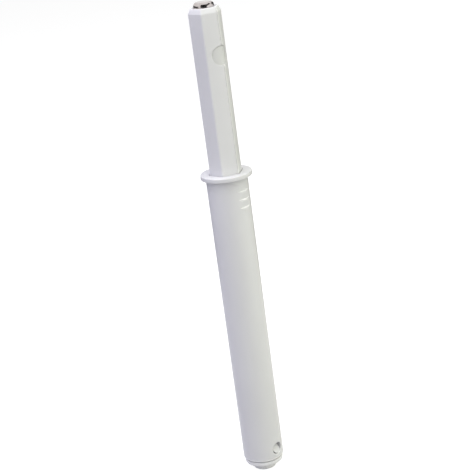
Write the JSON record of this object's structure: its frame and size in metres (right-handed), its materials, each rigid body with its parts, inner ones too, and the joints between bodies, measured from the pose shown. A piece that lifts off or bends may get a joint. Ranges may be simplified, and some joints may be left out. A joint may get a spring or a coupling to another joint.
{
  "type": "magnetic push latch",
  "caption": "Drill-in push latch: a round tube with a collar holds a sprung hexagonal plunger with a magnet at its tip, which stays in when pushed and springs out when pushed again.",
  "frame": {"origin": "on the tube's axis, at the collar's underside, where the face of the cabinet lies", "axes": "+Z along the axis towards the magnet tip, +X through the ribs, both snap windows and two corners of the hexagon"},
  "size_m": [0.0122, 0.0122, 0.1173],
  "materials": {
    "housing_plastic": "satin moulded light grey",
    "cap_plastic": "satin moulded light grey",
    "plunger_plastic": "satin moulded light grey",
    "carrier_plastic": "satin moulded light grey",
    "keeper_steel": "plain stamped steel",
    "magnet_nickel": "bright nickel plate",
    "spring_steel": "drawn spring wire"
  },
  "bodies": {
    "tube": {"housing": "housing_plastic", "end_cap": "cap_plastic", "main_spring": "spring_steel"},
    "rod": {"plunger": "plunger_plastic", "magnet_carrier": "carrier_plastic", "keeper_plate": "keeper_steel", "magnet": "magnet_nickel"},
    "finger": {"latch_finger": "spring_steel"}
  },
  "joints": [
    {"name": "plunger_slide", "type": "slide", "parent": "tube", "child": "rod", "axis": [0, 0, 1], "range_m": [-0.0385, 0], "stiffness_N_per_m": 150, "springref_m": 0.012, "deforming": ["main_spring"]},
    {"name": "latch_finger_swing", "type": "hinge", "parent": "tube", "child": "finger", "pos_m": [0, 0, -0.06951], "axis": [0, 1, 0], "range_deg": [0, 10.8], "stiffness_Nm_per_rad": 0.0002, "springref_deg": -2.86}
  ]
}
